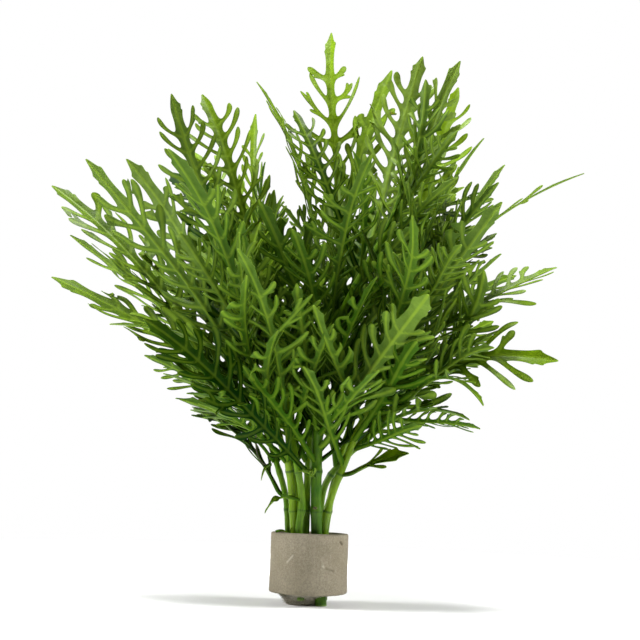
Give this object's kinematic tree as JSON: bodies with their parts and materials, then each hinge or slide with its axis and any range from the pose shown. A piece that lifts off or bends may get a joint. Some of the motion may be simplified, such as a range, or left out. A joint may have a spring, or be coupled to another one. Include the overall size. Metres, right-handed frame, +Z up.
{
  "type": "bunched aquarium plant",
  "caption": "Cut bunch of water wisteria stems with deeply lobed leaves, held upright in a ceramic ring by a mineral wool plug",
  "frame": {"origin": "centre of the flat underside of the mineral wool plug, where the bunch stands", "axes": "+Z up along the ring's axis, +X to the right in the picture, -Y towards the viewer"},
  "size_m": [0.2745, 0.1909, 0.2903],
  "materials": {
    "ceramic": "matte",
    "mineral_wool": "matte",
    "stem": "satin",
    "leaf": "satin"
  },
  "bodies": {
    "root": {"ceramic_ring": "ceramic", "leaf_back_centre_left": "leaf", "leaf_back_centre_rear": "leaf", "leaf_back_centre_right": "leaf", "leaf_back_left_edge": "leaf", "leaf_back_left_long": "leaf", "leaf_back_left_low": "leaf", "leaf_back_left_rear": "leaf", "leaf_back_left_top": "leaf", "leaf_back_right_edge": "leaf", "leaf_back_right_high": "leaf", "leaf_back_right_low": "leaf", "leaf_back_right_rear": "leaf", "leaf_back_right_top": "leaf", "leaf_curled": "leaf", "leaf_drooping": "leaf", "leaf_front_left_dark": "leaf", "leaf_front_left_low_dark": "leaf", "leaf_front_left_pale": "leaf", "leaf_front_left_tip": "leaf", "leaf_front_left_top": "leaf", "leaf_left_front": "leaf", "leaf_left_inner": "leaf", "leaf_left_long": "leaf", "leaf_left_low": "leaf", "leaf_left_spread": "leaf", "leaf_left_top": "leaf", "leaf_low_right_back": "leaf", "leaf_low_right_hanging": "leaf", "leaf_low_right_under": "leaf", "leaf_main_centre": "leaf", "leaf_main_dark": "leaf", "leaf_main_front": "leaf", "leaf_main_high": "leaf", "leaf_main_inner": "leaf", "leaf_main_left": "leaf", "leaf_main_long_stalk": "leaf", "leaf_main_pale": "leaf", "leaf_rear_left_back": "leaf", "leaf_rear_left_high": "leaf", "leaf_rear_left_thin": "leaf", "leaf_rear_low": "leaf", "leaf_right_front": "leaf", "leaf_right_high": "leaf", "leaf_right_low": "leaf", "leaf_right_narrow": "leaf", "leaf_right_pale": "leaf", "leaf_right_spread": "leaf", "leaf_top": "leaf", "leaf_withered": "leaf", "stem_back_centre": "stem", "stem_back_left": "stem", "stem_back_right": "stem", "stem_front_left": "stem", "stem_left": "stem", "stem_low_right": "stem", "stem_main": "stem", "stem_rear_left": "stem", "stem_right": "stem", "wool_plug": "mineral_wool"}
  },
  "joints": []
}
